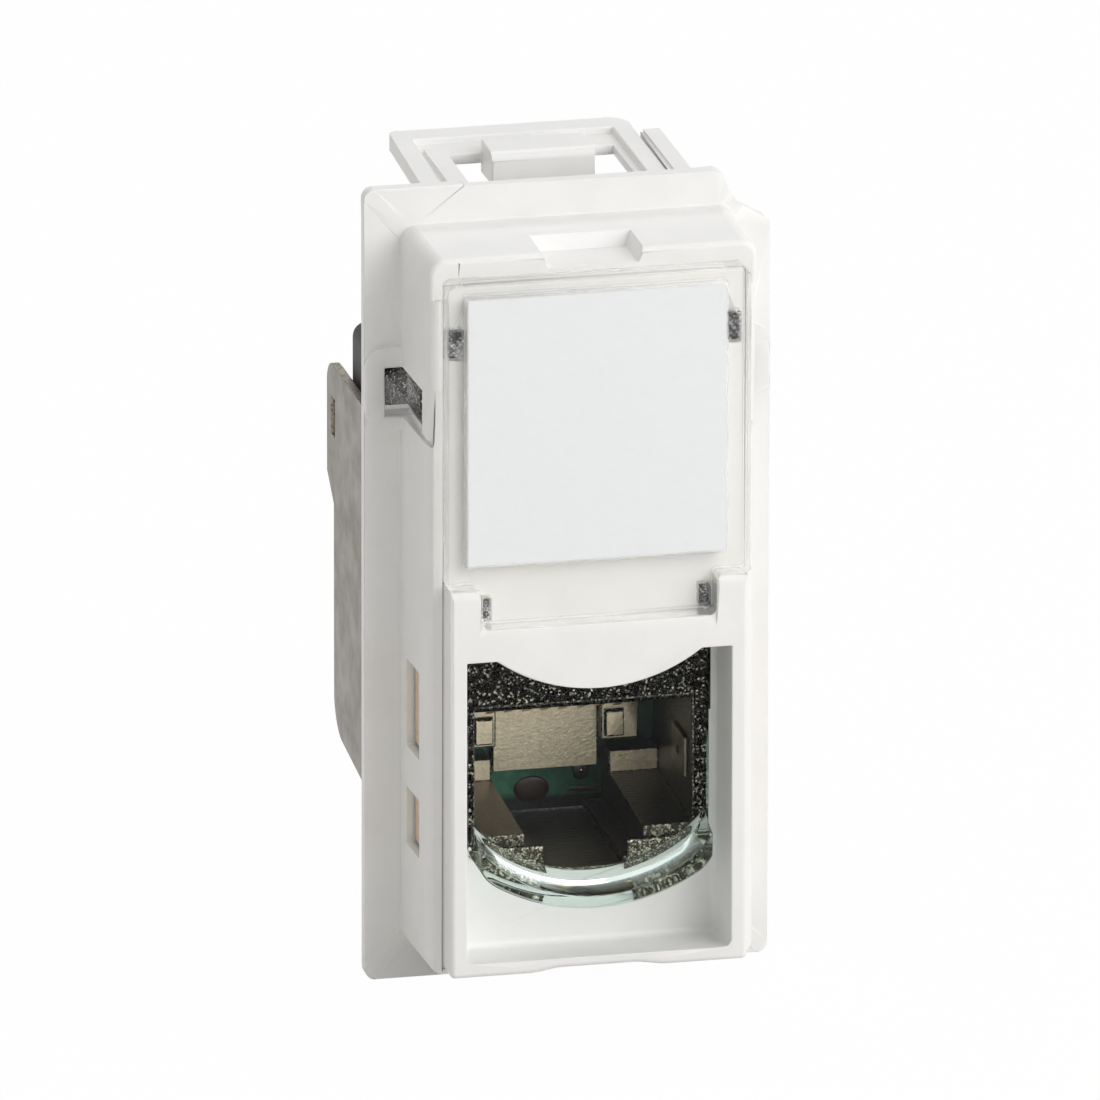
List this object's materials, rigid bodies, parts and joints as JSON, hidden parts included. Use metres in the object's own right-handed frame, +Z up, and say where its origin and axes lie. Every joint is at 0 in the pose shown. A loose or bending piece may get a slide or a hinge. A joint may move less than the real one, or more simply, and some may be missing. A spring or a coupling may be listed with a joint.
{
  "type": "ethernet wall socket",
  "caption": "One-module shielded network wall socket with a clear sliding dust shutter, a label window and hinged rear covers over a wiring block.",
  "frame": {"origin": "centre of the flange's front face, where the cover plate seats", "axes": "+X to the right seen from the front, +Y to the back of the wall, +Z up"},
  "size_m": [0.0226, 0.0301, 0.045],
  "materials": {
    "white_plastic": "satin moulded",
    "label_card": "matt paper card",
    "clear_plastic": "clear moulded",
    "tinted_clear": "clear moulded, faint green edges",
    "die_cast": "granular nickel-plated die casting",
    "sheet_metal": "satin nickel-plated sheet",
    "beige_plastic": "moulded",
    "ivory_plastic": "moulded",
    "black_plastic": "moulded",
    "circuit_board": "solder mask",
    "gold_contact": "gold plated",
    "tinned_blade": "tin plated",
    "pin_steel": "drawn"
  },
  "bodies": {
    "socket": {"mounting_frame": "white_plastic", "front_bezel": "white_plastic", "label_card": "label_card", "label_window": "clear_plastic", "jack_shell": "die_cast", "contact_carrier": "beige_plastic", "circuit_board": "circuit_board", "idc_block": "ivory_plastic", "wire_manager": "black_plastic", "shield_collar": "sheet_metal", "hinge_pin_left": "pin_steel", "hinge_pin_right": "pin_steel", "shield_spring_left": "sheet_metal", "shield_spring_right": "sheet_metal", "contact_1": "gold_contact", "contact_2": "gold_contact", "contact_3": "gold_contact", "contact_4": "gold_contact", "contact_5": "gold_contact", "contact_6": "gold_contact", "contact_7": "gold_contact", "contact_8": "gold_contact", "idc_blade_1": "tinned_blade", "idc_blade_2": "tinned_blade", "idc_blade_3": "tinned_blade", "idc_blade_4": "tinned_blade", "idc_blade_5": "tinned_blade", "idc_blade_6": "tinned_blade", "idc_blade_7": "tinned_blade", "idc_blade_8": "tinned_blade"},
    "shutter": {"shutter": "tinted_clear"},
    "left_cover": {"left_cover": "sheet_metal"},
    "right_cover": {"right_cover": "sheet_metal"}
  },
  "joints": [
    {"name": "shutter_slide", "type": "slide", "parent": "socket", "child": "shutter", "axis": [0, 0, 1], "range_m": [0, 0.0103]},
    {"name": "left_cover_hinge", "type": "hinge", "parent": "socket", "child": "left_cover", "pos_m": [-0.0092, 0.0022, 0], "axis": [0, 0, 1], "range_deg": [0, 90]},
    {"name": "right_cover_hinge", "type": "hinge", "parent": "socket", "child": "right_cover", "pos_m": [0.0092, 0.0022, 0], "axis": [0, 0, -1], "range_deg": [0, 90]}
  ]
}
